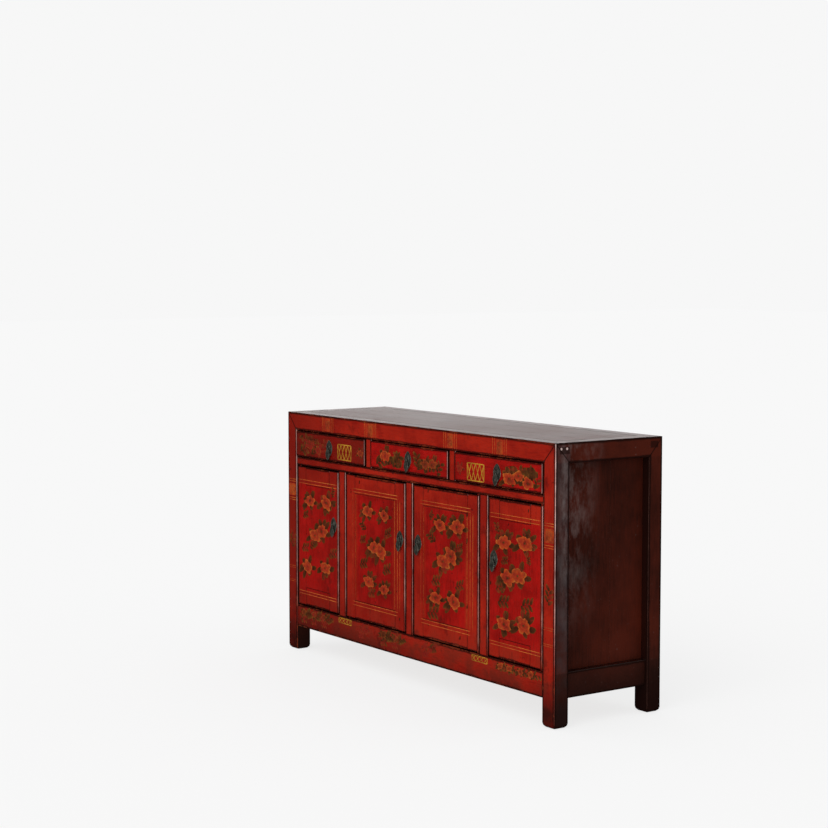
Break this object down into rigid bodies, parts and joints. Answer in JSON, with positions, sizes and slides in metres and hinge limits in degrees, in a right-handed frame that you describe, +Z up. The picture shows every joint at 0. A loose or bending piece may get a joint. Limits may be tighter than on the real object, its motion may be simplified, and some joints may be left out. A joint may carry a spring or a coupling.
{
  "type": "sideboard",
  "caption": "Low lacquered sideboard on square corner legs: a row of drawers with leaf pulls above hinged cupboard doors, flush mitred top.",
  "frame": {"origin": "bottom centre of the whole piece, on the floor", "axes": "+X to the right along the front, +Y from the front to the back, +Z up"},
  "size_m": [1.51, 0.4398, 0.86],
  "materials": {
    "red_lacquer": "glossy red lacquer, worn on the edges",
    "panel_lacquer": "glossy deep red lacquer with painted flowers",
    "dark_lacquer": "glossy dark brown lacquer",
    "bare_wood": "unfinished elm",
    "iron": "dark patinated iron"
  },
  "bodies": {
    "case": {"back_panel": "dark_lacquer", "bottom_rail_back": "dark_lacquer", "bottom_rail_front": "red_lacquer", "bottom_rail_left": "dark_lacquer", "bottom_rail_right": "dark_lacquer", "centre_mullion": "red_lacquer", "cupboard_floor": "bare_wood", "door_divider_left": "red_lacquer", "door_divider_right": "red_lacquer", "drawer_divider_1": "red_lacquer", "drawer_divider_2": "red_lacquer", "drawer_rail_front": "red_lacquer", "drawer_runner_1": "bare_wood", "drawer_runner_2": "bare_wood", "drawer_runner_3": "bare_wood", "drawer_runner_4": "bare_wood", "post_back_left": "red_lacquer", "post_back_right": "red_lacquer", "post_front_left": "red_lacquer", "post_front_right": "red_lacquer", "side_panel_left": "dark_lacquer", "side_panel_right": "dark_lacquer", "top_board": "dark_lacquer", "top_rail_back": "red_lacquer", "top_rail_front": "red_lacquer", "top_rail_left": "dark_lacquer", "top_rail_right": "dark_lacquer"},
    "drawer_1": {"drawer_1_front": "red_lacquer", "drawer_1_box": "bare_wood", "drawer_1_bottom": "bare_wood", "drawer_1_plate": "iron"},
    "drawer_2": {"drawer_2_front": "red_lacquer", "drawer_2_box": "bare_wood", "drawer_2_bottom": "bare_wood", "drawer_2_plate": "iron"},
    "drawer_3": {"drawer_3_front": "red_lacquer", "drawer_3_box": "bare_wood", "drawer_3_bottom": "bare_wood", "drawer_3_plate": "iron"},
    "door_1": {"door_1_frame": "red_lacquer", "door_1_panel": "panel_lacquer", "door_1_plate": "iron"},
    "door_2": {"door_2_frame": "red_lacquer", "door_2_panel": "panel_lacquer", "door_2_plate": "iron"},
    "door_3": {"door_3_frame": "red_lacquer", "door_3_panel": "panel_lacquer", "door_3_plate": "iron"},
    "door_4": {"door_4_frame": "red_lacquer", "door_4_panel": "panel_lacquer", "door_4_plate": "iron"},
    "drawer_1_pull": {"drawer_1_drop": "iron"},
    "drawer_2_pull": {"drawer_2_drop": "iron"},
    "drawer_3_pull": {"drawer_3_drop": "iron"},
    "door_1_pull": {"door_1_drop": "iron"},
    "door_2_pull": {"door_2_drop": "iron"},
    "door_3_pull": {"door_3_drop": "iron"},
    "door_4_pull": {"door_4_drop": "iron"}
  },
  "joints": [
    {"name": "drawer_1_slide", "type": "slide", "parent": "case", "child": "drawer_1", "axis": [0, -1, 0], "range_m": [0, 0.28]},
    {"name": "drawer_2_slide", "type": "slide", "parent": "case", "child": "drawer_2", "axis": [0, -1, 0], "range_m": [0, 0.28]},
    {"name": "drawer_3_slide", "type": "slide", "parent": "case", "child": "drawer_3", "axis": [0, -1, 0], "range_m": [0, 0.28]},
    {"name": "door_1_hinge", "type": "hinge", "parent": "case", "child": "door_1", "pos_m": [-0.683, -0.1941, 0.42], "axis": [0, 0, -1], "range_deg": [0, 100]},
    {"name": "door_2_hinge", "type": "hinge", "parent": "case", "child": "door_2", "pos_m": [-0.3675, -0.1941, 0.42], "axis": [0, 0, -1], "range_deg": [0, 100]},
    {"name": "door_3_hinge", "type": "hinge", "parent": "case", "child": "door_3", "pos_m": [0.3675, -0.1941, 0.42], "axis": [0, 0, 1], "range_deg": [0, 100]},
    {"name": "door_4_hinge", "type": "hinge", "parent": "case", "child": "door_4", "pos_m": [0.683, -0.1941, 0.42], "axis": [0, 0, 1], "range_deg": [0, 100]},
    {"name": "drawer_1_pull_hinge", "type": "hinge", "parent": "drawer_1", "child": "drawer_1_pull", "pos_m": [-0.47633, -0.2161, 0.757], "axis": [-1, 0, 0], "range_deg": [0, 80]},
    {"name": "drawer_2_pull_hinge", "type": "hinge", "parent": "drawer_2", "child": "drawer_2_pull", "pos_m": [0, -0.2161, 0.757], "axis": [-1, 0, 0], "range_deg": [0, 80]},
    {"name": "drawer_3_pull_hinge", "type": "hinge", "parent": "drawer_3", "child": "drawer_3_pull", "pos_m": [0.47633, -0.2161, 0.757], "axis": [-1, 0, 0], "range_deg": [0, 80]},
    {"name": "door_1_pull_hinge", "type": "hinge", "parent": "door_1", "child": "door_1_pull", "pos_m": [-0.4565, -0.2121, 0.488], "axis": [-1, 0, 0], "range_deg": [0, 80]},
    {"name": "door_2_pull_hinge", "type": "hinge", "parent": "door_2", "child": "door_2_pull", "pos_m": [-0.052, -0.2121, 0.488], "axis": [-1, 0, 0], "range_deg": [0, 80]},
    {"name": "door_3_pull_hinge", "type": "hinge", "parent": "door_3", "child": "door_3_pull", "pos_m": [0.052, -0.2121, 0.488], "axis": [-1, 0, 0], "range_deg": [0, 80]},
    {"name": "door_4_pull_hinge", "type": "hinge", "parent": "door_4", "child": "door_4_pull", "pos_m": [0.4565, -0.2121, 0.488], "axis": [-1, 0, 0], "range_deg": [0, 80]}
  ]
}
